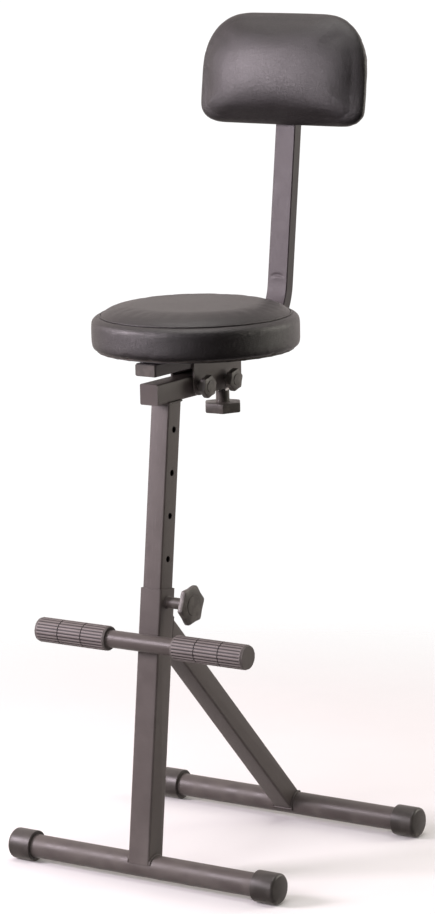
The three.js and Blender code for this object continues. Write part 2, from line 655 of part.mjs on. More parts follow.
function boardPrism(inset, fromY, toY) {
  const shape = new THREE.Shape(padOutline(inset));
  const slab = new THREE.ExtrudeGeometry(shape, { depth: fromY - toY, bevelEnabled: false });
  return toSolid(turned(slab, Math.PI / 2, 0, 0).translate(0, fromY, 0));
}

// ---- seat ----
function seatScrewSpots() {
  return [[-48, 105], [48, 105], [-48, 250], [48, 250]];
}

function addSeat(parent) {
  const bottom = SEAT_BOTTOM_Z;
  const boardTop = bottom + SEAT_BOARD_THICK;
  const r = SEAT_R;
  const profile = [
    [0, bottom], [r - 6, bottom], [r - 1.5, bottom + 4], [r, bottom + 14], [r, SEAT_SEAM_Z - 11],
    [r - 2.5, SEAT_SEAM_Z - 5], [r - 7, SEAT_SEAM_Z - 1], [r - 13.5, SEAT_SEAM_Z], [r - 19, SEAT_SEAM_Z + 6],
    [r - 27, SEAT_TOP_Z - 2.5], [r - 45, SEAT_TOP_Z - 0.8], [0, SEAT_TOP_Z],
  ];
  const cushion = toSolid(lathe(profile, 56).translate(0, SEAT_Y, 0));
  const recess = rod('z', SEAT_BOARD_R + GAP, bottom - 5, boardTop + GAP, 0, SEAT_Y, 56);
  piece('seat_cushion', cushion.subtract(toSolid(recess)), VINYL, parent);
  let board = toSolid(rod('z', SEAT_BOARD_R, bottom, boardTop, 0, SEAT_Y, 56));
  for (const [x, y] of seatScrewSpots()) {
    board = board.subtract(toSolid(rod('z', 3 + GAP, bottom - 5, bottom + 9, x, y, 16)));
  }
  piece('seat_board', board, BOARD, parent);
  const names = ['front_left', 'front_right', 'rear_left', 'rear_right'];
  for (const [index, [x, y]] of seatScrewSpots().entries()) {
    const screw = piece(`seat_screw_${names[index]}`, headedBolt(3, 11, 10, 4), STEEL, parent);
    screw.position.set(x, y, PLATE_TOP_Z - PLATE_THICK - GAP);
  }
}

// ---- whole stool ----
function buildStool() {
  const stool = new THREE.Group();
  stool.name = 'performer_stool';
  const frame = new THREE.Group();
  frame.position.y = -FRAME_CENTRE_Y;
  stool.add(frame);
  addFloorBar(frame, 'front', 0);
  addFloorBar(frame, 'rear', REAR_BAR_Y);
  addBrace(frame);
  const mast = new THREE.Group();
  mast.position.z = CAP_FLAT_Z;
  mast.rotation.x = -LEAN;
  frame.add(mast);
  addOuterColumn(mast);
  addInnerColumn(mast);
  addHeightKnob(mast);
  addFootrest(mast);
  addChannel(frame);
  addTiltBracket(frame);
  addSideKnob(frame, 'tilt_pivot', PIVOT_Y);
  addSideKnob(frame, 'tilt_lock', LOCK_Y);
  addDepthKnob(frame);
  addBackrestBar(frame);
  addBackPad(frame);
  addSeat(frame);
  return stool;
}

const stool = buildStool();
export default stool;
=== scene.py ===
"""Tall performer's stool with a back pad and a footrest bar.

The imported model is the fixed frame. This script gives every piece of it a finish,
makes the two cushions, the welds and the upholsterer's details, and sets up the studio.
"""

import json
import logging
import math
from dataclasses import dataclass
from enum import Enum
from typing import Any, Callable, Dict, List, Optional, Sequence, Tuple

import bpy
import numpy as np
from mathutils import Matrix, Vector

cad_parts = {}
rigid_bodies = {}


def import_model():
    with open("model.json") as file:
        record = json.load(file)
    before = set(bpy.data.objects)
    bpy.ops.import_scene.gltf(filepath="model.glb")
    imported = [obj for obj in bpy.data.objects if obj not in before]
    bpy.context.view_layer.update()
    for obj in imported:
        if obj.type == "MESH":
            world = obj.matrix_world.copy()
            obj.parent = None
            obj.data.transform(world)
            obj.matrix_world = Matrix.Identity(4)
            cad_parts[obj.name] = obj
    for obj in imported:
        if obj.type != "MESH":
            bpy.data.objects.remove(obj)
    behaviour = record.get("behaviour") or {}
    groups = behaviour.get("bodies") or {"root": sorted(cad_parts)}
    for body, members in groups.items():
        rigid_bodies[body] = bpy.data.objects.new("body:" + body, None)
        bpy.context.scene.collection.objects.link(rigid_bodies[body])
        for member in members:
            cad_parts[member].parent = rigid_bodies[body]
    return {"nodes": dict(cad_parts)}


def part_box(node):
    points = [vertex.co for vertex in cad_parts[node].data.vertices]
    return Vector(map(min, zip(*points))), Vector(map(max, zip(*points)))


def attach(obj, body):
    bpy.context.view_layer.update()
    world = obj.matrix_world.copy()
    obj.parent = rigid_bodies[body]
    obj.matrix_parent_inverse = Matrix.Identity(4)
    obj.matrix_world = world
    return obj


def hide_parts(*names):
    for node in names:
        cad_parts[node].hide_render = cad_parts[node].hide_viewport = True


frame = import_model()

LOG = logging.getLogger("stool")
MM = 0.001
Point = Tuple[float, float, float]
Colour = Tuple[float, float, float]

FRAME_CENTRE_Y = 230.7
COLUMN_LEAN = math.radians(6.9)
POST_LEAN = math.radians(7.4)
FLOOR_BAR_Z = 24.4


class Body(str, Enum):
    """Moving groups of the stool, by their names in the frame."""

    FLOOR = "floor_frame"
    MAST = "mast"
    SEAT = "seat"
    BACKREST = "backrest"
    HEIGHT_KNOB = "height_knob_set"
    DEPTH_KNOB = "depth_knob_set"
    LOCK_KNOB = "tilt_lock_knob_set"
    PIVOT_KNOB = "tilt_pivot_knob_set"


class Slot(str, Enum):
    """Finish slots of the record."""

    PAINT = "paint"
    RUBBER = "rubber"
    PLASTIC = "black_plastic"
    STEEL = "zinc_steel"
    VINYL = "vinyl"


# ---------------------------------------------------------------- shader maths


class Wire:
    """A socket's number, on which arithmetic adds Math nodes."""

    def __init__(self, shader: "Shader", socket: bpy.types.NodeSocket) -> None:
        """Keeps the shader and the output socket."""
        self.shader = shader
        self.socket = socket

    def _maths(self, operation: str, left: Any, right: Any = None) -> "Wire":
        """Adds one Math node.

        Args:
            operation: Blender's name for the sum.
            left: The first value, a number or a wire.
            right: The second value, where the sum has one.

        Returns:
            The result as a wire.
        """
        values = {0: left} if right is None else {0: left, 1: right}
        node = self.shader.node("ShaderNodeMath", {"operation": operation}, values)
        return Wire(self.shader, node.outputs[0])

    def __add__(self, other: Any) -> "Wire":
        """Sum."""
        return self._maths("ADD", self, other)

    __radd__ = __add__

    def __sub__(self, other: Any) -> "Wire":
        """Difference."""
        return self._maths("SUBTRACT", self, other)

    def __rsub__(self, other: Any) -> "Wire":
        """Difference, the other way round."""
        return self._maths("SUBTRACT", other, self)

    def __mul__(self, other: Any) -> "Wire":
        """Product."""
        return self._maths("MULTIPLY", self, other)

    __rmul__ = __mul__

    def root(self) -> "Wire":
        """Square root."""
        return self._maths("SQRT", self)

    def size(self) -> "Wire":
        """Value without its sign."""
        return self._maths("ABSOLUTE", self)


class Shader:
    """A material's node tree, put together one node at a time."""

    def __init__(self, name: str) -> None:
        """Starts an empty material of that name."""
        self.material = bpy.data.materials.new(name)
        self.material.use_nodes = True
        self.tree = self.material.node_tree
        self.tree.nodes.clear()
        self.place = self.node("ShaderNodeTexCoord").outputs["Object"]

    def node(self, kind: str, settings: Optional[Dict[str, Any]] = None,
             values: Optional[Dict[Any, Any]] = None) -> bpy.types.Node:
        """Adds a node, sets it, then fills its sockets.

        Args:
            kind: Blender's node type.
            settings: The node's own settings, set first.
            values: A number, colour, socket or wire for each input.

        Returns:
            The node.
        """
        made = self.tree.nodes.new(kind)
        for name, value in (settings or {}).items():
            setattr(made, name, value)
        for name, value in (values or {}).items():
            value = value.socket if isinstance(value, Wire) else value
            if isinstance(value, bpy.types.NodeSocket):
                self.tree.links.new(value, made.inputs[name])
            else:
                made.inputs[name].default_value = value
        return made

    def axes(self) -> Tuple[Wire, Wire, Wire]:
        """The point's own x, y and z in metres, as wires."""
        split = self.node("ShaderNodeSeparateXYZ", values={0: self.place})
        return tuple(Wire(self, out) for out in split.outputs)

    def stretched(self, scale: Point) -> bpy.types.NodeSocket:
        """The place scaled along each axis, so that a pattern draws out into streaks."""
        node = self.node("ShaderNodeVectorMath", {"operation": "MULTIPLY"}, {0: self.place, 1: scale})
        return node.outputs[0]

    def noise(self, scale: float, detail: float = 2.0, place: Any = None) -> Wire:
        """Soft noise.

        Args:
            scale: Lumps per metre.
            detail: How many finer layers lie on it.
            place: Coordinates other than the plain ones.

        Returns:
            The noise, around a half.
        """
        place = self.place if place is None else place
        node = self.node("ShaderNodeTexNoise", values={"Vector": place, "Scale": scale, "Detail": detail})
        return Wire(self, node.outputs["Fac"])

    def cells(self, scale: float) -> Wire:
        """Distance in a Voronoi pattern with that many cells per metre."""
        node = self.node("ShaderNodeTexVoronoi", {"feature": "DISTANCE_TO_EDGE"},
                         {"Vector": self.place, "Scale": scale})
        return Wire(self, node.outputs["Distance"])

    def between(self, value: Wire, low: float, high: float) -> Wire:
        """Smooth step.

        Args:
            value: What is measured.
            low: Where the step is 0.
            high: Where the step is 1.

        Returns:
            The step from 0 to 1.
        """
        node = self.node("ShaderNodeMapRange", {"interpolation_type": "SMOOTHSTEP"},
                         {"Value": value, "From Min": low, "From Max": high})
        return Wire(self, node.outputs[0])

    def mix(self, share: Wire, first: Any, second: Any) -> bpy.types.NodeSocket:
        """Blend of two colours.

        Args:
            share: How much of the second colour shows.
            first: A colour, or a colour socket.
            second: A colour, or a colour socket.

        Returns:
            The blended colour's socket.
        """
        colours = [(*c, 1.0) if isinstance(c, tuple) else c for c in (first, second)]
        node = self.node("ShaderNodeMix", {"data_type": "RGBA"}, {0: share, 6: colours[0], 7: colours[1]})
        return node.outputs[2]

    def surface(self, colour: Any, roughness: Any, height: Wire, depth: float,
                **constants: float) -> bpy.types.Material:
        """Ends the material with its shader.

        Args:
            colour: Base colour.
            roughness: Roughness, a number or a wire.
            height: Surface height, from 0 to 1.
            depth: How far 0 and 1 are apart, in metres.
            **constants: Other sockets, underscores for spaces.

        Returns:
            The finished material.
        """
        bump = self.node("ShaderNodeBump", values={"Strength": 1.0, "Distance": depth, "Height": height})
        skin = self.node("ShaderNodeBsdfPrincipled", values={
            "Base Color": colour, "Roughness": roughness, "Normal": bump.outputs[0]})
        for name, value in constants.items():
            skin.inputs[name.replace("_", " ")].default_value = value
        self.node("ShaderNodeOutputMaterial", values={"Surface": skin.outputs[0]})
        return self.material


def lighter(colour: Colour, factor: float) -> Colour:
    """The colour with each part multiplied by factor."""
    return tuple(min(1.0, part * factor) for part in colour)


# ---------------------------------------------------------------- finishes


@dataclass(frozen=True)
class PowderCoat:
    """Satin powder coat with orange peel, soft mottling, rub marks and a little dust low down."""

    name: str = "powder_coat"
    colour: Colour = (0.088, 0.075, 0.070)
    gloss: float = 0.40
    rubbed: float = 0.0
    sheen: float = 0.5

    def material(self) -> bpy.types.Material:
        """Builds the coat."""
        s = Shader(self.name)
        _, _, z = s.axes()
        mottle = s.noise(38.0, 3.0)
        streak = s.noise(1.0, 2.0, s.stretched((420.0, 420.0, 9.0)))
        peel = s.noise(1150.0, 2.0)
        speck = s.between(s.noise(520.0, 1.0), 0.68, 0.78)
        dust = (1 - s.between(z, 0.0, 0.13)) * s.between(s.noise(24.0, 3.0), 0.38, 0.72)
        base = s.mix(mottle, lighter(self.colour, 0.87), lighter(self.colour, 1.13))
        base = s.mix(speck * 0.35, base, lighter(self.colour, 1.7))
        base = s.mix(dust * 0.20, base, (0.24, 0.215, 0.19))
        base = s.mix(s.between(streak, 0.56, 0.70) * self.rubbed, base, lighter(self.colour, 1.5))
        rough = mottle * 0.16 + streak * 0.08 + (self.gloss - 0.12) + dust * 0.2
        return s.surface(base, rough, peel + mottle * 0.5, 0.00016, Specular_IOR_Level=self.sheen)


@dataclass(frozen=True)
class UpholsteryVinyl:
    """Dark vinyl cloth with a fine pebble grain whose valleys are painted dark as shade, and softer, greyer
    patches where it is sat on.
    """

    name: str = "upholstery_vinyl"
    colour: Colour = (0.0150, 0.0112, 0.0118)
    pebble: float = 780.0

    def material(self) -> bpy.types.Material:
        """Builds the vinyl."""
        s = Shader(self.name)
        pebble = s.between(s.cells(self.pebble), 0.0, 0.22)
        pores = s.noise(self.pebble * 2.4, 1.0)
        worn = s.between(s.noise(9.0, 3.0), 0.40, 0.68)
        crinkle = s.noise(300.0, 2.0)
        base = s.mix(worn, lighter(self.colour, 0.93), lighter(self.colour, 1.09))
        # Painted shade: the grain's valleys are darkened.
        base = s.mix(1 - pebble, base, lighter(self.colour, 0.40))
        rough = 0.35 + crinkle * 0.08 - worn * 0.02 + (1 - pebble) * 0.10
        grain = pebble * 0.6 + pores * 0.4 + crinkle * 1.5
        return s.surface(base, rough, grain, 0.00016, Specular_IOR_Level=0.85)


@dataclass(frozen=True)
class MouldedRubber:
    """Black rubber with a faint bloom and a fine matt mould texture."""

    name: str = "moulded_rubber"
    colour: Colour = (0.042, 0.037, 0.033)

    def material(self) -> bpy.types.Material:
        """Builds the rubber."""
        s = Shader(self.name)
        _, _, z = s.axes()
        bloom = s.between(s.noise(46.0, 4.0), 0.42, 0.70)
        scuff = (1 - s.between(z, 0.0, 0.016)) * s.between(s.noise(160.0, 3.0), 0.40, 0.62)
        base = s.mix(bloom, self.colour, lighter(self.colour, 1.4))
        base = s.mix(scuff * 0.6, base, (0.20, 0.18, 0.155))
        rough = 0.38 + bloom * 0.10 + scuff * 0.2
        return s.surface(base, rough, s.noise(900.0, 3.0), 0.00010, Specular_IOR_Level=0.6)


@dataclass(frozen=True)
class RibbedGrip:
    """Soft grip: pale ribs, partly rubbed wear and partly painted highlight, over flutes painted dark as shade
    in the grooves, told apart by their distance from the tube's middle.
    """

    name: str = "ribbed_grip"
    ridge_wear_and_highlight: Colour = (0.185, 0.160, 0.154)
    painted_flute_shade: Colour = (0.016, 0.013, 0.013)
    ends: Colour = (0.100, 0.088, 0.082)
    middle_y: float = 0.0
    middle_z: float = 0.0
    outer: float = 20.0 * MM
    depth: float = 1.1 * MM
    start: float = 66.4 * MM
    end: float = 194.2 * MM

    def material(self) -> bpy.types.Material:
        """Builds the grip's rubber."""
        s = Shader(self.name)
        x, y, z = s.axes()
        across, up = y - self.middle_y, z - self.middle_z
        away = (across * across + up * up).root()
        reach = x.size()
        beyond = s.between(reach, self.end - 0.4 * MM, self.end)
        plain = beyond + 1 - s.between(reach, self.start, self.start + 0.4 * MM)
        rib = s.between(away + plain * self.outer, self.outer - self.depth, self.outer - self.depth * 0.25)
        patch = s.noise(60.0, 3.0)
        # The flutes get painted shade. The ribs get a paler colour, partly wear and partly painted highlight.
        base = s.mix(rib, self.painted_flute_shade, s.mix(patch, lighter(self.ridge_wear_and_highlight, 0.78), lighter(self.ridge_wear_and_highlight, 1.15)))
        base = s.mix(plain, base, s.mix(patch, lighter(self.ends, 0.85), lighter(self.ends, 1.15)))
        return s.surface(base, 0.62 - rib * 0.12, s.noise(1000.0, 2.0), 0.00014)


@dataclass(frozen=True)
class MouldedNylon:
    """Semi-matt black nylon with spark texture and thumbed edges."""

    name: str = "moulded_nylon"
    colour: Colour = (0.070, 0.063, 0.056)

    def material(self) -> bpy.types.Material:
        """Builds the nylon."""
        s = Shader(self.name)
        handled = s.between(s.noise(75.0, 3.0), 0.42, 0.66)
        base = s.mix(handled, self.colour, lighter(self.colour, 1.5))
        rough = 0.47 - handled * 0.10
        return s.surface(base, rough, s.noise(1500.0, 2.0), 0.00012)


@dataclass(frozen=True)
class ZincPlate:
    """Bright zinc on steel, brushed by turning, with dull white spots."""

    name: str = "zinc_plate"
    colour: Colour = (0.60, 0.59, 0.58)

    def material(self) -> bpy.types.Material:
        """Builds the plating."""
        s = Shader(self.name)
        dull = s.between(s.noise(240.0, 3.0), 0.45, 0.68)
        turned = s.noise(1.0, 1.0, s.stretched((2600.0, 240.0, 240.0)))
        base = s.mix(dull, self.colour, lighter(self.colour, 0.66))
        rough = 0.26 + dull * 0.22
        return s.surface(base, rough, turned, 0.00006, Metallic=1.0)


@dataclass(frozen=True)
class StainedPly:
    """Plywood stained black, its long grain and its pores still showing."""

    name: str = "stained_ply"
    colour: Colour = (0.040, 0.033, 0.028)

    def material(self) -> bpy.types.Material:
        """Builds the ply."""
        s = Shader(self.name)
        grain = s.noise(1.0, 4.0, s.stretched((16.0, 260.0, 260.0)))
        pore = s.between(s.noise(1.0, 2.0, s.stretched((60.0, 1500.0, 1500.0))), 0.55, 0.72)
        base = s.mix(s.between(grain, 0.35, 0.65), self.colour, lighter(self.colour, 2.1))
        base = s.mix(pore * 0.6, base, lighter(self.colour, 0.5))
        return s.surface(base, 0.66 + pore * 0.12, grain - pore * 0.5, 0.0002)


@dataclass(frozen=True)
class PlainPaper:
    """The studio's white floor, which thins out to nothing at its edge."""

    name: str = "studio_floor"
    inner: float = 0.75
    outer: float = 1.9

    def material(self) -> bpy.types.Material:
        """Builds the floor's finish."""
        s = Shader(self.name)
        x, y, _ = s.axes()
        away = (x * x + y * y).root()
        tooth = s.noise(6.0, 2.0)
        base = s.mix(tooth, (0.87, 0.87, 0.87), (0.90, 0.90, 0.90))
        material = s.surface(base, 0.9, tooth, 0.0001, Specular_IOR_Level=0.1)
        skin = next(n for n in s.tree.nodes if n.type == "BSDF_PRINCIPLED")
        s.tree.links.new((1 - s.between(away, self.inner, self.outer)).socket, skin.inputs["Alpha"])
        return material


# ---------------------------------------------------------------- the bench


class Bench:
    """The hand operations that shape a piece."""

    @staticmethod
    def clear() -> None:
        """Leaves edit mode and deselects everything."""
        if bpy.context.object and bpy.context.object.mode != "OBJECT":
            bpy.ops.object.mode_set(mode="OBJECT")
        for other in list(bpy.context.view_layer.objects.selected):
            other.select_set(False)

    @classmethod
    def hold(cls, piece: bpy.types.Object) -> None:
        """Makes a piece the only one selected, and the active one."""
        cls.clear()
        piece.select_set(True)
        bpy.context.view_layer.objects.active = piece

    @classmethod
    def edit(cls, piece: bpy.types.Object, *steps: Callable[[], Any], everything: bool = True) -> None:
        """Runs steps in edit mode.

        Args:
            piece: The piece to shape.
            *steps: Calls to make, in order.
            everything: Whether all of it is selected first.
        """
        cls.hold(piece)
        bpy.ops.object.mode_set(mode="EDIT")
        if everything:
            bpy.ops.mesh.select_all(action="SELECT")
        for step in steps:
            step()
        bpy.ops.object.mode_set(mode="OBJECT")

    @classmethod
    def pick_faces(cls, piece: bpy.types.Object, rule: Callable[[Any], bool]) -> int:
        """Selects the faces that a rule picks.

        Args:
            piece: The piece, in object mode.
            rule: Says yes or no to a polygon.

        Returns:
            How many faces are selected.
        """
        bpy.context.tool_settings.mesh_select_mode = (False, False, True)
        mesh = piece.data
        chosen = [rule(face) for face in mesh.polygons]
        mesh.vertices.foreach_set("select", [False] * len(mesh.vertices))
        mesh.edges.foreach_set("select", [False] * len(mesh.edges))
        mesh.polygons.foreach_set("select", chosen)
        return sum(chosen)

    @classmethod
    def modify(cls, piece: bpy.types.Object, kind: str, **settings: Any) -> None:
        """Adds a modifier, sets it and applies it."""
        cls.hold(piece)
        modifier = piece.modifiers.new(kind.lower(), kind)
        for name, value in settings.items():
            setattr(modifier, name, value)
        bpy.ops.object.modifier_apply(modifier=modifier.name)

    @classmethod
    def smooth(cls, piece: bpy.types.Object, degrees: float = 34.0) -> None:
        """Shades a piece smooth, but keeps edges sharper than the angle."""
        cls.hold(piece)
        bpy.ops.object.shade_smooth_by_angle(angle=math.radians(degrees), keep_sharp_edges=False)

    @classmethod
    def copy_of(cls, node: str, name: str) -> bpy.types.Object:
        """A merged copy of a CAD node's mesh.

        Args:
            node: The CAD node.
            name: The new piece's name.

        Returns:
            The new piece.
        """
        mesh = frame["nodes"][node].data.copy()
        mesh.name = name
        mesh.materials.clear()
        if mesh.has_custom_normals:
            mesh.normals_split_custom_set([(0.0, 0.0, 0.0)] * len(mesh.loops))
        piece = bpy.data.objects.new(name, mesh)
        bpy.context.scene.collection.objects.link(piece)
        cls.edit(piece, lambda: bpy.ops.mesh.remove_doubles(threshold=0.00001))
        cls.hold(piece)
        if piece.data.has_custom_normals:
            bpy.ops.mesh.customdata_custom_splitnormals_clear()
        return piece

    @classmethod
    def rim(cls, piece: bpy.types.Object, outer: float, inner: float, thick: float, offset: float) -> None:
        """Turns a flat sheet into a narrow strip round its own edge.

        Args:
            piece: The sheet.
            outer: Width of the strip's outer half, in metres.
            inner: Width of its inner half.
            thick: Thickness of the strip.
            offset: Which side of the sheet it is thickened on.
        """
        cls.edit(piece, lambda: bpy.ops.mesh.inset(thickness=outer),
                 lambda: bpy.ops.mesh.inset(thickness=inner),
                 lambda: bpy.ops.mesh.delete(type="FACE"))
        cls.modify(piece, "SOLIDIFY", thickness=thick, offset=offset)

    @classmethod
    def settle(cls, piece: bpy.types.Object) -> None:
        """Puts a piece's place into its mesh, so that its object is at the origin."""
        cls.hold(piece)
        bpy.ops.object.transform_apply(location=True, rotation=True, scale=True)

    @staticmethod
    def points(piece: bpy.types.Object) -> np.ndarray:
        """A piece's points as rows of x, y and z."""
        flat = np.zeros(len(piece.data.vertices) * 3)
        piece.data.vertices.foreach_get("co", flat)
        return flat.reshape(-1, 3)

    @staticmethod
    def move_points(piece: bpy.types.Object, points: np.ndarray) -> None:
        """Writes a piece's points back."""
        piece.data.vertices.foreach_set("co", points.ravel())
        piece.data.update()

    @classmethod
    def swept(cls, name: str, path: Sequence[Point], radii: Sequence[float],
              closed: bool) -> bpy.types.Object:
        """A round cord of changing thickness along a path.

        Args:
            name: The new piece's name.
            path: Its middle line, in metres.
            radii: Its radius at each point.
            closed: Whether the end meets the start.

        Returns:
            The cord as a closed mesh.
        """
        curve = bpy.data.curves.new(name, "CURVE")
        curve.dimensions = "3D"
        curve.bevel_depth = 1.0
        curve.bevel_resolution = 3
        curve.use_fill_caps = not closed
        line = curve.splines.new("POLY")
        line.points.add(len(path) - 1)
        for spot, place, radius in zip(line.points, path, radii):
            spot.co = (*place, 1.0)
            spot.radius = radius
        line.use_cyclic_u = closed
        piece = bpy.data.objects.new(name, curve)
        bpy.context.scene.collection.objects.link(piece)
        cls.hold(piece)
        bpy.ops.object.convert(target="MESH")
        piece = bpy.context.object
        piece.data.name = name
        cls.edit(piece, lambda: bpy.ops.mesh.remove_doubles(threshold=0.00002),
                 lambda: bpy.ops.mesh.normals_make_consistent(inside=False))
        return piece


def dress(piece: bpy.types.Object, finish: bpy.types.Material, body: Optional[Body] = None) -> bpy.types.Object:
    """Gives a piece its finish and its body, and reports it.

    Args:
        piece: The piece.
        finish: Its material.
        body: What it moves with, for a new piece.

    Returns:
        The piece.

    Raises:
        ValueError: If the piece has no faces.
    """
    if not piece.data.polygons:
        raise ValueError(f"{piece.name} has no faces")
    piece.data.materials.clear()
    piece.data.materials.append(finish)
    if body is not None:
        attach(piece, body.value)
    LOG.info("%s: %s, %d faces", piece.name, finish.name, len(piece.data.polygons))
    return piece


# ---------------------------------------------------------------- finished copies and fixings


@dataclass
class FinishedPart:
    """A CAD piece whose round faces are shaded smooth, as on the real one."""

    node: str
    body: Body
    slot: Slot
    crisp: float = 34.0

    def build(self, finish: bpy.types.Material) -> bpy.types.Object:
        """Makes the copy, dresses it and lets it stand for the CAD node.

        Args:
            finish: Its material.

        Returns:
            The finished piece.
        """
        piece = Bench.copy_of(self.node, self.node + "_finished")
        Bench.smooth(piece, self.crisp)
        dress(piece, finish, self.body)
        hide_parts(self.node)
        return piece


@dataclass
class Fixings:
    """Bolts, screws, nuts and boards that stay as the CAD made them."""

    steel: Tuple[str, ...] = (
        "height_screw", "tilt_pivot_bolt", "tilt_pivot_nut", "tilt_lock_bolt", "tilt_lock_nut",
        "depth_nut", "depth_screw", "back_bolt_lower", "back_bolt_upper", "seat_screw_front_left",
        "seat_screw_front_right", "seat_screw_rear_left", "seat_screw_rear_right")
    boards: Tuple[str, ...] = ("seat_board", "back_board")

    def dress(self, steel: bpy.types.Material, board: bpy.types.Material) -> None:
        """Gives each fixing and board its finish."""
        for names, finish in ((self.steel, steel), (self.boards, board)):
            for name in names:
                dress(frame["nodes"][name], finish)


# ---------------------------------------------------------------- welds


@dataclass
class WeldBead:
    """A run of weld with its stacked ripples."""

    name: str
    body: Body
    corners: List[Point]
    closed: bool = False
    thick: float = 1.7 * MM
    pitch: float = 1.3 * MM

    def build(self, finish: bpy.types.Material) -> bpy.types.Object:
        """Lays the bead along its corners.

        Args:
            finish: The paint that covers it.

        Returns:
            The bead.
        """
        stops = [Vector(c) for c in self.corners]
        if self.closed:
            stops.append(stops[0])
        path, radii, run = [], [], 0.0
        for start, end in zip(stops, stops[1:]):
            steps = max(2, round((end - start).length / self.pitch))
            for i in range(steps):
                path.append(tuple(start.lerp(end, i / steps)))
                radii.append(self.thick * (1.0 + 0.15 * math.cos(math.pi * len(path))
                                           + 0.10 * math.sin(run * 870.0)))
                run += (end - start).length / steps
        if not self.closed:
            path.append(tuple(stops[-1]))
            radii.append(self.thick * 0.6)
            radii[0] = self.thick * 0.6
        piece = Bench.swept(self.name, path, radii, self.closed)
        Bench.smooth(piece, 60.0)
        return dress(piece, finish, self.body)


def column_point(x: float, forward: float, along: float) -> Point:
    """A place beside the leaning column, in metres.

    Args:
        x: Millimetres to the right of its middle.
        forward: Millimetres behind its middle line, square to the column.
        along: Millimetres up the column from the front floor bar's middle.

    Returns:
        The point in the frame.
    """
    sine, cosine = math.sin(COLUMN_LEAN), math.cos(COLUMN_LEAN)
    y = forward * cosine + along * sine - FRAME_CENTRE_Y
    z = FLOOR_BAR_Z - forward * sine + along * cosine
    return x * MM, y * MM, z * MM


def bar_arc(x: float, bar_y: float, radius: float, start: float, end: float, count: int = 14) -> List[Point]:
    """Points round a floor bar.

    Args:
        x: Millimetres along the bar.
        bar_y: The bar's middle, before centring.
        radius: Millimetres from the bar's middle line.
        start: First angle above the rear horizon, in degrees.
        end: Last angle.
        count: How many points.

    Returns:
        The points in the frame, in metres.
    """
    points = []
    for i in range(count):
        angle = math.radians(start + (end - start) * i / (count - 1))
        points.append((x * MM, (bar_y + radius * math.cos(angle) - FRAME_CENTRE_Y) * MM,
                       (FLOOR_BAR_Z + radius * math.sin(angle)) * MM))
    return points


@dataclass
class Welds:
    """Every weld of the frame."""

    tube: float = 19.0
    rear_y: float = 420.0
    column_half: float = 20.0
    brace_half: float = 17.5
    brace_from: float = 69.0
    brace_to: float = 199.0
    brace_cut: float = 45.2

    def column_foot(self) -> List[WeldBead]:
        """The two saddles where the column stands on the front bar."""
        return [WeldBead(f"weld_column_foot_{side}", Body.FLOOR,
                         bar_arc(sign * (self.column_half + 0.7), 0.0, self.tube + 0.6, 12.0, 160.0))
                for side, sign in (("left", -1), ("right", 1))]

    def brace_foot(self) -> WeldBead:
        """The loop round the brace on the rear bar."""
        out = self.brace_half + 0.7
        right = bar_arc(out, self.rear_y, self.tube + 0.6, self.brace_from, self.brace_to)
        left = bar_arc(-out, self.rear_y, self.tube + 0.6, self.brace_to, self.brace_from)
        return WeldBead("weld_brace_foot", Body.FLOOR, right + left, closed=True)

    def brace_head(self) -> WeldBead:
        """The loop round the brace on the back of the column."""
        _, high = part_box("diagonal_brace")
        top = (high.z / MM - FLOOR_BAR_Z) / math.cos(COLUMN_LEAN) + 3.0
        out = self.brace_half + 0.5
        corners = [column_point(sign * out, self.column_half + 0.6, w) for sign, w in
                   ((1, top), (1, top - self.brace_cut), (-1, top - self.brace_cut), (-1, top))]
        return WeldBead("weld_brace_head", Body.FLOOR, corners, closed=True, thick=1.5 * MM)

    def footrest(self) -> List[WeldBead]:
        """The fillets above and below the footrest tube on the column's front."""
        return [WeldBead(f"weld_footrest_{name}", Body.FLOOR,
                         [column_point(-17.0, -21.4, 358.0 + rise), column_point(17.0, -21.4, 358.0 + rise)],
                         thick=2.0 * MM)
                for name, rise in (("upper", 7.6), ("lower", -7.6))]

    def boss(self) -> WeldBead:
        """The ring round the threaded boss."""
        low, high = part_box("column_boss")
        y, z = (low.y + high.y) / 2, (low.z + high.z) / 2
        radius = (high.z - low.z) / 2 + 0.5 * MM
        ring = [(self.column_half * MM + 0.7 * MM, y + radius * math.cos(a), z + radius * math.sin(a))
                for a in (2 * math.pi * i / 24 for i in range(24))]
        return WeldBead("weld_boss", Body.FLOOR, ring, closed=True, thick=1.3 * MM)

    def channel(self) -> WeldBead:
        """The loop where the inner column meets the underside of the seat channel."""
        low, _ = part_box("seat_channel")
        along = (low.z / MM - FLOOR_BAR_Z) / math.cos(COLUMN_LEAN)
        corners = []
        for x, forward in ((17.4, -17.4), (17.4, 17.4), (-17.4, 17.4), (-17.4, -17.4)):
            corners.append((x * MM, column_point(0, forward, along)[1], low.z - 0.5 * MM))
        return WeldBead("weld_channel", Body.MAST, corners, closed=True, thick=1.5 * MM)

    def build(self, finish: bpy.types.Material) -> None:
        """Lays every bead in the frame's paint."""
        beads = [*self.column_foot(), self.brace_foot(), self.brace_head(), *self.footrest(), self.boss(),
                 self.channel()]
        for bead in beads:
            bead.build(finish)


# ---------------------------------------------------------------- backrest bar


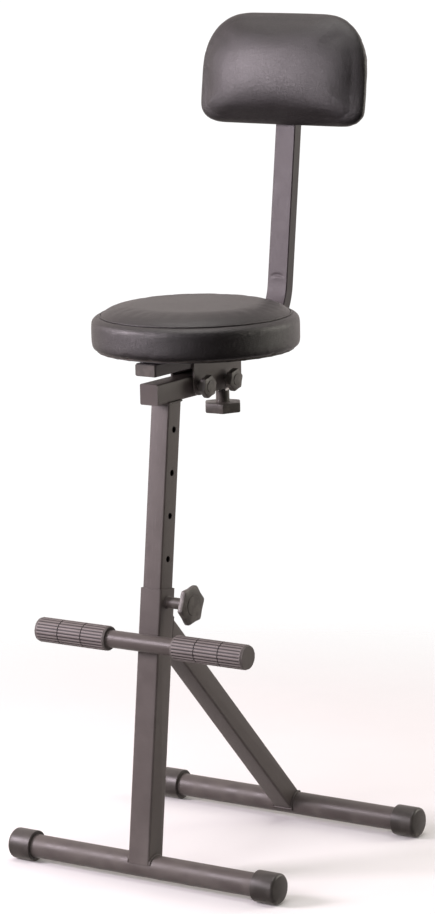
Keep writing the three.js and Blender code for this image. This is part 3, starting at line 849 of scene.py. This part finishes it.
@dataclass
class BackrestBar:
    """The bent post, with the small crush that its bending left on the inner side."""

    node: str = "backrest_bar"
    bend_y: float = 422.17
    bend_z: float = 900.12
    half_thick: float = 10.0
    crush_at: float = 15.0
    crush_deep: float = 1.0
    crush_half: float = 13.0

    def along(self, s: float) -> Vector:
        """A point on the post's middle line, s millimetres above the bend's end."""
        y = self.bend_y + s * math.sin(POST_LEAN) - FRAME_CENTRE_Y
        return Vector((0.0, y * MM, (self.bend_z + s * math.cos(POST_LEAN)) * MM))

    def slice(self, piece: bpy.types.Object) -> None:
        """Cuts the faces round the crush into a fine grid."""
        up = Vector((0.0, math.sin(POST_LEAN), math.cos(POST_LEAN)))

        def cut(place: Vector, normal: Vector) -> Callable[[], Any]:
            """A step that cuts all of the piece on one plane."""
            return lambda: (bpy.ops.mesh.select_all(action="SELECT"),
                            bpy.ops.mesh.bisect(plane_co=place, plane_no=normal))

        steps = [cut(self.along(s), up) for s in np.arange(0.0, 30.1, 1.2)]
        across = Vector((1.0, 0.0, 0.0))
        steps += [cut(Vector((x * MM, 0.0, 0.0)), across) for x in np.arange(-15.0, 15.1, 2.0)]
        Bench.edit(piece, *steps, lambda: bpy.ops.mesh.remove_doubles(threshold=0.00001))

    def crush(self, piece: bpy.types.Object) -> None:
        """Presses a crescent into the front face and lifts a soft fold under it."""
        points = Bench.points(piece)
        base = np.array(self.along(0.0))
        up = np.array([0.0, math.sin(POST_LEAN), math.cos(POST_LEAN)])
        back = np.array([0.0, math.cos(POST_LEAN), -math.sin(POST_LEAN)])
        s = (points - base) @ up / MM
        behind = (points - base) @ back / MM
        x = points[:, 0] / MM
        face = np.clip((-behind - (self.half_thick - 2.2)) / 1.2, 0.0, 1.0)
        width = np.clip(1.0 - (x / self.crush_half) ** 2, 0.0, 1.0) ** 0.8
        line = s - self.crush_at + 3.5 * (x / self.crush_half) ** 2
        press = self.crush_deep * np.exp(-((line / 2.3) ** 2)) - 0.3 * np.exp(-(((line + 5.0) / 3.0) ** 2))
        near = (s > 0.0) & (s < 30.0)
        points += np.outer(press * width * face * near * MM, back)
        Bench.move_points(piece, points)

    def build(self, finish: bpy.types.Material) -> bpy.types.Object:
        """Makes the post.

        Args:
            finish: Its paint.

        Returns:
            The post.
        """
        piece = Bench.copy_of(self.node, "backrest_bar_finished")
        self.slice(piece)
        self.crush(piece)
        Bench.smooth(piece, 34.0)
        dress(piece, finish, Body.BACKREST)
        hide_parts(self.node)
        return piece


# ---------------------------------------------------------------- cushions


@dataclass
class Cushion:
    """A foam pad pulled tight under vinyl: the CAD shape, drawn in, remeshed and filled with air."""

    node: str
    name: str
    body: Body
    voxel: float
    cap: float
    fill: float
    frames: int = 20
    pressure: float = 4.0
    passes: int = 5

    def draw_in(self, points: np.ndarray) -> np.ndarray:
        """The smaller shape that the filling starts from."""
        raise NotImplementedError

    def held(self, points: np.ndarray) -> np.ndarray:
        """1 where the vinyl is stapled to its board, 0 where it is free."""
        raise NotImplementedError

    def shape(self, points: np.ndarray) -> np.ndarray:
        """The last touches once it is filled, such as seams."""
        raise NotImplementedError

    def inflate(self, piece: bpy.types.Object) -> None:
        """Fills the pad with air in a cloth simulation, then limits how far it went."""
        rest = Bench.points(piece)
        pins = piece.vertex_groups.new(name="stapled")
        for index in np.flatnonzero(self.held(rest) > 0.5):
            pins.add([int(index)], 1.0, "REPLACE")
        Bench.hold(piece)
        cloth = piece.modifiers.new("air", "CLOTH")
        cloth.settings.quality = 5
        cloth.settings.vertex_group_mass = pins.name
        cloth.settings.use_pressure = True
        cloth.settings.uniform_pressure_force = self.pressure
        cloth.settings.effector_weights.gravity = 0.0
        cloth.point_cache.frame_start = 1
        cloth.point_cache.frame_end = self.frames
        scene = bpy.context.scene
        for number in range(1, self.frames + 1):
            scene.frame_set(number)
        bpy.ops.object.modifier_apply(modifier=cloth.name)
        moved = Bench.points(piece) - rest
        length = np.linalg.norm(moved, axis=1, keepdims=True)
        Bench.move_points(piece, rest + moved * self.cap / (self.cap + length))
        scene.frame_set(1)
        LOG.info("%s: filled, moved %.1f mm at most before the limit", self.name, length.max() / MM)

    def build(self, finish: bpy.types.Material) -> bpy.types.Object:
        """Makes the cushion.

        Args:
            finish: Its vinyl.

        Returns:
            The cushion.
        """
        piece = Bench.copy_of(self.node, self.name)
        Bench.modify(piece, "REMESH", mode="VOXEL", voxel_size=self.voxel, use_smooth_shade=True)
        Bench.move_points(piece, self.draw_in(Bench.points(piece)))
        self.inflate(piece)
        Bench.modify(piece, "SMOOTH", factor=0.5, iterations=self.passes)
        Bench.modify(piece, "SUBSURF", levels=1, render_levels=1)
        piece.vertex_groups.clear()
        Bench.move_points(piece, self.shape(Bench.points(piece)))
        Bench.hold(piece)
        bpy.ops.object.shade_smooth()
        dress(piece, finish, self.body)
        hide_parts(self.node)
        return piece


@dataclass
class SeatCushion(Cushion):
    """The round seat: a flat sewn top panel, a rounded shoulder and an upright side band."""

    node: str = "seat_cushion"
    name: str = "seat_cover"
    body: Body = Body.SEAT
    voxel: float = 4.0 * MM
    cap: float = 5.0 * MM
    fill: float = 0.85
    middle_y: float = (174.7 - FRAME_CENTRE_Y) * MM
    board_radius: float = 157.3 * MM
    low: float = 830.0 * MM
    board_top: float = 842.3 * MM
    high: float = 898.0 * MM
    seam: float = 151.5 * MM
    staple_ring: float = 148.5 * MM
    loft: float = 4.2 * MM
    swell: float = 0.6 * MM

    def polar(self, points: np.ndarray) -> Tuple[np.ndarray, np.ndarray]:
        """Distance from the seat's middle, and angle round it."""
        x, y = points[:, 0], points[:, 1] - self.middle_y
        return np.hypot(x, y), np.arctan2(y, x)

    def draw_in(self, points: np.ndarray) -> np.ndarray:
        """Lowers the top and pulls in the side."""
        r, _ = self.polar(points)
        top = np.clip((points[:, 2] - 0.870) / 0.020, 0.0, 1.0)
        points[:, 2] -= 2.6 * MM * top
        side = np.clip((r - 0.158) / 0.006, 0.0, 1.0) * np.clip((points[:, 2] - 0.834) / 0.012, 0.0, 1.0)
        shrink = 1.0 - side * 0.3 * MM / np.maximum(r, 0.01)
        points[:, 0] *= shrink
        points[:, 1] = self.middle_y + (points[:, 1] - self.middle_y) * shrink
        return points

    def held(self, points: np.ndarray) -> np.ndarray:
        """The bottom rim and all that lies on the board."""
        r, _ = self.polar(points)
        on_board = (points[:, 2] < self.board_top + 2.5 * MM) & (r < self.board_radius + 2.5 * MM)
        sewn = (np.abs(r - self.seam) < 2.6 * MM) & (points[:, 2] > 0.876)
        return ((points[:, 2] < self.low + 3.0 * MM) | on_board | sewn).astype(float)

    def shape(self, points: np.ndarray) -> np.ndarray:
        """Presses the sewn line into the top and puts slight slack in the side band."""
        r, turn = self.polar(points)
        above = np.clip((points[:, 2] - 0.876) / 0.006, 0.0, 1.0)
        groove = np.exp(-(((r - self.seam) / (2.8 * MM)) ** 2))
        points[:, 2] -= above * 1.2 * MM * groove * (1.0 + 0.10 * np.sin(turn * 41.0))
        panel = np.clip((self.seam - 1.0 * MM - r) / (34.0 * MM), 0.0, 1.0)
        points[:, 2] += above * self.loft * panel * (2.0 - panel)
        side = np.clip((r - 0.160) / 0.003, 0.0, 1.0)
        wave = (0.10 * np.sin(turn * 7.0 + points[:, 2] * 95.0)
                + 0.06 * np.sin(turn * 13.0 - points[:, 2] * 210.0))
        out = 1.0 + side * (self.swell + wave * MM) / np.maximum(r, 0.01)
        points[:, 0] *= out
        points[:, 1] = self.middle_y + (points[:, 1] - self.middle_y) * out
        points[:, 2] = np.clip(points[:, 2], self.low, self.high + 3.0 * MM)
        return points

    def welt(self, finish: bpy.types.Material, cover: bpy.types.Object) -> bpy.types.Object:
        """The thin welt sewn into the top panel's edge, lying in its groove.

        Args:
            finish: Its vinyl.
            cover: The finished seat cover that it lies on.

        Returns:
            The welt.
        """
        points = Bench.points(cover)
        r, _ = self.polar(points)
        ring = points[(np.abs(r - self.seam) < 3.0 * MM) & (points[:, 2] > 0.876)]
        rest = float(np.median(ring[:, 2])) + 0.5 * MM
        count = 220
        path, radii = [], []
        for i in range(count):
            angle = 2 * math.pi * i / count
            wobble = 0.12 * MM * math.sin(angle * 31.0)
            path.append(((self.seam + wobble) * math.cos(angle),
                         self.middle_y + (self.seam + wobble) * math.sin(angle), rest))
            radii.append(1.15 * MM * (1.0 + 0.05 * math.sin(angle * 97.0)))
        piece = Bench.swept("seat_welt", path, radii, True)
        Bench.hold(piece)
        bpy.ops.object.shade_smooth()
        return dress(piece, finish, Body.SEAT)

    def hem(self, finish: bpy.types.Material) -> bpy.types.Object:
        """The vinyl turned under the board, gathered into small pleats.

        Args:
            finish: Its vinyl.

        Returns:
            The hem.
        """
        Bench.clear()
        bpy.ops.mesh.primitive_circle_add(vertices=144, radius=156.6 * MM, fill_type="NGON",
                                          location=(0.0, self.middle_y, self.low - 0.2 * MM))
        piece = bpy.context.object
        piece.name = piece.data.name = "seat_hem"
        Bench.settle(piece)
        Bench.rim(piece, 9.0 * MM, 7.0 * MM, 1.0 * MM, -1.0)
        points = Bench.points(piece)
        _, turn = self.polar(points)
        lower = points[:, 2] < self.low - 0.7 * MM
        points[lower, 2] -= (0.45 * MM * np.maximum(0.0, np.sin(turn * 36.0)))[lower]
        Bench.move_points(piece, points)
        Bench.edit(piece, lambda: bpy.ops.mesh.normals_make_consistent(inside=False))
        Bench.smooth(piece, 40.0)
        return dress(piece, finish, Body.SEAT)

    def staples(self, finish: bpy.types.Material, count: int = 36) -> bpy.types.Object:
        """The ring of staples that holds the hem.

        Args:
            finish: Their wire.
            count: How many there are.

        Returns:
            The staples as one piece.
        """
        Bench.clear()
        bpy.ops.mesh.primitive_cube_add(size=1.0)
        piece = bpy.context.object
        piece.name = piece.data.name = "seat_staples"
        piece.scale = (1.0 * MM, 9.0 * MM, 0.5 * MM)
        Bench.settle(piece)
        Bench.modify(piece, "BEVEL", width=0.2 * MM, segments=1)
        single = Bench.points(piece)
        turns = [2 * math.pi * (i + 0.5) / count for i in range(count)]
        mesh = piece.data
        faces = [tuple(face.vertices) for face in mesh.polygons]
        corners, sides = [], []
        for number, turn in enumerate(turns):
            cosine, sine = math.cos(turn), math.sin(turn)
            spin = np.array([[cosine, -sine, 0], [sine, cosine, 0], [0, 0, 1]])
            centre = np.array([self.staple_ring * cosine, self.middle_y + self.staple_ring * sine,
                               self.low - 1.55 * MM])
            corners.extend((single @ spin.T + centre).tolist())
            sides.extend([tuple(v + number * len(single) for v in face) for face in faces])
        mesh.clear_geometry()
        mesh.from_pydata(corners, [], sides)
        mesh.update()
        return dress(piece, finish, Body.SEAT)


@dataclass
class BackCushion(Cushion):
    """The back pad: a wide crowned cushion with square lower corners and big upper ones."""

    node: str = "back_cushion"
    name: str = "back_cover"
    body: Body = Body.BACKREST
    voxel: float = 4.0 * MM
    cap: float = 5.0 * MM
    fill: float = 0.9
    passes: int = 18
    bend_y: float = 422.17
    bend_z: float = 900.12
    bottom_s: float = 258.5
    height: float = 181.5
    half_width: float = 155.5
    rear: float = -10.3
    crown: float = 5.0
    fall: float = 9.0
    swell: float = 0.024

    def setting(self) -> Tuple[np.ndarray, np.ndarray, np.ndarray]:
        """Middle of the pad's lower edge in metres, and the directions behind it and up it."""
        origin = np.array([0.0, (self.bend_y + self.bottom_s * math.sin(POST_LEAN) - FRAME_CENTRE_Y) * MM,
                           (self.bend_z + self.bottom_s * math.cos(POST_LEAN)) * MM])
        back = np.array([0.0, math.cos(POST_LEAN), -math.sin(POST_LEAN)])
        up = np.array([0.0, math.sin(POST_LEAN), math.cos(POST_LEAN)])
        return origin, back, up

    def local(self, points: np.ndarray) -> Tuple[np.ndarray, np.ndarray, np.ndarray]:
        """Millimetres across the pad, behind the post's middle plane, and up from the pad's lower edge."""
        origin, back, up = self.setting()
        away = (points - origin) / MM
        return away[:, 0], away @ back, away @ up

    def world(self, x: np.ndarray, behind: np.ndarray, up: np.ndarray) -> np.ndarray:
        """Turns those three measures back into points."""
        origin, back, rise = self.setting()
        side = np.array([1.0, 0.0, 0.0])
        return origin + MM * (np.outer(x, side) + np.outer(behind, back) + np.outer(up, rise))

    def draw_in(self, points: np.ndarray) -> np.ndarray:
        """Draws the outline and the front in a little."""
        x, behind, up = self.local(points)
        front = np.clip((self.rear - 6.0 - behind) / 14.0, 0.0, 1.0)
        middle = self.height / 2
        up = middle + (up - middle) * (1.0 - 0.012 * front)
        behind = behind + 2.5 * front * np.clip((-behind - 34.0) / 14.0, 0.0, 1.0)
        return self.world(x, behind, up)

    def held(self, points: np.ndarray) -> np.ndarray:
        """The back rim and all that lies on the board."""
        x, behind, up = self.local(points)
        rim = behind > self.rear - 3.0
        middle = self.height / 2
        inside = (np.abs(x) < self.half_width - 14.5) & (np.abs(up - middle) < middle - 14.5)
        return (rim | (inside & (behind > self.rear - 13.5))).astype(float)

    def shape(self, points: np.ndarray) -> np.ndarray:
        """Adds the soft crown that the foam gives."""
        x, behind, up = self.local(points)
        middle = self.height / 2
        across = np.clip(1.0 - (x / self.half_width) ** 2, 0.0, 1.0)
        tall = np.clip(1.0 - ((up - middle) / middle) ** 2, 0.0, 1.0)
        front = np.clip((self.rear - 13.0 - behind) / 20.0, 0.0, 1.0)
        dome = across * tall
        behind = behind - front * (self.crown * dome - self.fall * (1.0 - dome))
        x = x * (1.0 + self.swell * np.clip((self.rear - 4.0 - behind) / 12.0, 0.0, 1.0))
        behind = np.minimum(behind, self.rear)
        return self.world(x, behind, up)

    def hem(self, finish: bpy.types.Material) -> bpy.types.Object:
        """The vinyl turned round onto the back of the board, pinched flat under the post.

        Args:
            finish: Its vinyl.

        Returns:
            The hem.
        """
        piece = Bench.copy_of("back_board", "back_hem")
        back = Vector((0.0, math.cos(POST_LEAN), -math.sin(POST_LEAN)))
        Bench.edit(piece, lambda: bpy.ops.mesh.dissolve_limited(angle_limit=math.radians(0.4)))
        Bench.pick_faces(piece, lambda face: face.normal.dot(back) < 0.95)
        Bench.edit(piece, lambda: bpy.ops.mesh.delete(type="FACE"), everything=False)
        Bench.rim(piece, 8.0 * MM, 6.0 * MM, 0.9 * MM, 1.0)
        x, behind, up = self.local(Bench.points(piece))
        pinch = np.clip((np.abs(x) - 19.5) / 6.0, 0.0, 1.0)
        behind = self.rear + 0.02 + (behind - self.rear) * (0.22 + 0.78 * pinch)
        Bench.move_points(piece, self.world(x, behind, up))
        Bench.edit(piece, lambda: bpy.ops.mesh.normals_make_consistent(inside=False))
        Bench.smooth(piece, 40.0)
        return dress(piece, finish, Body.BACKREST)


# ---------------------------------------------------------------- studio


@dataclass
class Studio:
    """Camera, floor, sky and lamps."""

    eye: Point = (3.1833, -4.7038, 1.6997)
    azimuth: float = 34.1
    elevation: float = 10.53
    roll: float = -1.2
    lens: float = 141.8
    behind: Point = (-0.55, 0.80, 0.22)
    dim: float = 0.02
    bright: float = 0.95
    seen_white: float = 1.05
    floor_radius: float = 2.2

    def camera(self) -> None:
        """Places the camera."""
        a, e, r = (math.radians(v) for v in (self.azimuth, self.elevation, self.roll))
        back = Vector((math.sin(a) * math.cos(e), -math.cos(a) * math.cos(e), math.sin(e)))
        right = Vector((math.cos(a), math.sin(a), 0.0))
        up = back.cross(right)
        level = math.cos(r) * right + math.sin(r) * up
        upright = -math.sin(r) * right + math.cos(r) * up
        data = bpy.data.cameras.new("camera")
        data.lens = self.lens
        data.sensor_width = 36.0
        data.clip_end = 200.0
        camera = bpy.data.objects.new("camera", data)
        bpy.context.scene.collection.objects.link(camera)
        turn = Matrix((level, upright, back)).transposed().to_4x4()
        camera.matrix_world = Matrix.Translation(self.eye) @ turn
        bpy.context.scene.camera = camera

    def floor(self) -> None:
        """Lays a pale floor under the feet, which fades out before its edge and isn't seen in reflections."""
        Bench.clear()
        bpy.ops.mesh.primitive_circle_add(vertices=96, radius=self.floor_radius, fill_type="NGON",
                                          location=(0.0, 0.0, -0.5 * MM))
        floor = bpy.context.object
        floor.name = "floor"
        Bench.settle(floor)
        floor.data.materials.append(PlainPaper().material())
        floor.visible_glossy = False

    def backdrop(self) -> None:
        """Makes the surroundings: white where they are seen, bright behind and dim in front as light."""
        world = bpy.data.worlds.new("studio")
        world.use_nodes = True
        bpy.context.scene.world = world
        tree = world.node_tree
        tree.nodes.clear()
        toward = tree.nodes.new("ShaderNodeTexCoord")
        along = tree.nodes.new("ShaderNodeVectorMath")
        along.operation = "DOT_PRODUCT"
        along.inputs[1].default_value = self.behind
        step = tree.nodes.new("ShaderNodeMapRange")
        step.interpolation_type = "SMOOTHSTEP"
        for name, value in (("From Min", -0.1), ("From Max", 0.75), ("To Min", self.dim),
                            ("To Max", self.bright)):
            step.inputs[name].default_value = value
        seen = tree.nodes.new("ShaderNodeLightPath")
        white = tree.nodes.new("ShaderNodeBackground")
        white.inputs[0].default_value = (1.0, 1.0, 1.0, 1.0)
        white.inputs[1].default_value = self.seen_white
        grey = tree.nodes.new("ShaderNodeBackground")
        grey.inputs[0].default_value = (1.0, 0.90, 0.87, 1.0)
        either = tree.nodes.new("ShaderNodeMixShader")
        out = tree.nodes.new("ShaderNodeOutputWorld")
        tree.links.new(toward.outputs["Generated"], along.inputs[0])
        tree.links.new(along.outputs["Value"], step.inputs["Value"])
        tree.links.new(step.outputs[0], grey.inputs[1])
        tree.links.new(seen.outputs["Is Camera Ray"], either.inputs[0])
        tree.links.new(grey.outputs[0], either.inputs[1])
        tree.links.new(white.outputs[0], either.inputs[2])
        tree.links.new(either.outputs[0], out.inputs[0])

    def lamp(self, name: str, azimuth: float, elevation: float, distance: float, size: Tuple[float, float],
             watts: float, colour: Colour) -> None:
        """Hangs one soft lamp that points at the stool.

        Args:
            name: The lamp's name.
            azimuth: Where it stands round the stool, in degrees.
            elevation: How high it stands, in degrees.
            distance: How far away, in metres.
            size: Its width and height in metres.
            watts: Its power.
            colour: Its colour.
        """
        a, e = math.radians(azimuth), math.radians(elevation)
        back = Vector((math.sin(a) * math.cos(e), -math.cos(a) * math.cos(e), math.sin(e)))
        data = bpy.data.lights.new(name, "AREA")
        data.shape = "RECTANGLE"
        data.size, data.size_y = size
        data.energy = watts
        data.color = colour
        lamp = bpy.data.objects.new(name, data)
        bpy.context.scene.collection.objects.link(lamp)
        lamp.rotation_euler = (-back).to_track_quat("-Z", "Y").to_euler()
        lamp.location = Vector((0.0, 0.0, 0.75)) + back * distance

    def lamps(self) -> None:
        """Hangs the four lamps."""
        self.lamp("key", -46.0, 17.0, 3.0, (0.9, 1.1), 98.0, (1.0, 0.88, 0.96))
        self.lamp("front", -6.0, 13.0, 3.6, (1.7, 1.6), 42.0, (1.0, 0.94, 0.97))
        self.lamp("top", 10.0, 80.0, 3.0, (2.0, 2.0), 46.0, (1.0, 0.97, 0.95))
        self.lamp("side", 132.0, 12.0, 3.4, (1.3, 1.7), 42.0, (1.0, 0.96, 0.86))

    def build(self) -> None:
        """Sets up everything round the stool."""
        bpy.context.scene.view_settings.view_transform = "Standard"
        self.floor()
        self.backdrop()
        self.lamps()


def write_sizes() -> None:
    """Brings the view layer up to date.
    """
    bpy.context.view_layer.update()


PAINTED = (
    ("front_floor_tube", Body.FLOOR), ("rear_floor_tube", Body.FLOOR), ("diagonal_brace", Body.FLOOR),
    ("outer_column", Body.FLOOR), ("column_boss", Body.FLOOR), ("footrest_tube", Body.FLOOR),
    ("inner_column", Body.MAST), ("seat_channel", Body.MAST), ("channel_front_plug", Body.MAST),
    ("tilt_bracket", Body.SEAT))
CAPS = ("front_cap_left", "front_cap_right", "rear_cap_left", "rear_cap_right")
GRIPS = ("footrest_grip_left", "footrest_grip_right")
NYLON = (
    ("height_knob", Body.HEIGHT_KNOB), ("tilt_pivot_knob", Body.PIVOT_KNOB),
    ("tilt_lock_knob", Body.LOCK_KNOB), ("depth_knob", Body.DEPTH_KNOB),
    ("channel_rear_plug", Body.MAST), ("bar_front_plug", Body.BACKREST),
    ("bar_top_plug", Body.BACKREST))


def main() -> None:
    """Builds the stool in order."""
    logging.basicConfig(level=logging.INFO, format="%(name)s: %(message)s")
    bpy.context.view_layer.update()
    studio = Studio()
    studio.camera()

    low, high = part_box("footrest_tube")
    paint = PowderCoat().material()
    rubbed = PowderCoat("powder_coat_rubbed", rubbed=0.35).material()
    vinyl = UpholsteryVinyl().material()
    rubber = MouldedRubber().material()
    grip = RibbedGrip(middle_y=(low.y + high.y) / 2, middle_z=(low.z + high.z) / 2).material()
    nylon = MouldedNylon().material()
    zinc = ZincPlate().material()
    ply = StainedPly().material()

    for node, body in PAINTED:
        FinishedPart(node, body, Slot.PAINT).build(rubbed if node == "inner_column" else paint)
    for node in CAPS:
        FinishedPart(node, Body.FLOOR, Slot.RUBBER).build(rubber)
    for node in GRIPS:
        FinishedPart(node, Body.FLOOR, Slot.RUBBER, crisp=48.0).build(grip)
    for node, body in NYLON:
        FinishedPart(node, body, Slot.PLASTIC).build(nylon)
    # The post gets a darker copy of the powder coat. This is painted shade that tones down its lit faces.
    BackrestBar().build(PowderCoat("powder_coat_post_painted_shade", (0.060, 0.050, 0.054), 0.45, sheen=0.38).material())
    Fixings().dress(zinc, ply)
    Welds().build(paint)

    seat = SeatCushion()
    cover = seat.build(vinyl)
    seat.welt(vinyl, cover)
    seat.hem(vinyl)
    seat.staples(zinc)
    back = BackCushion()
    back.build(vinyl)
    back.hem(vinyl)

    studio.build()
    write_sizes()


if __name__ == "__main__":
    main()
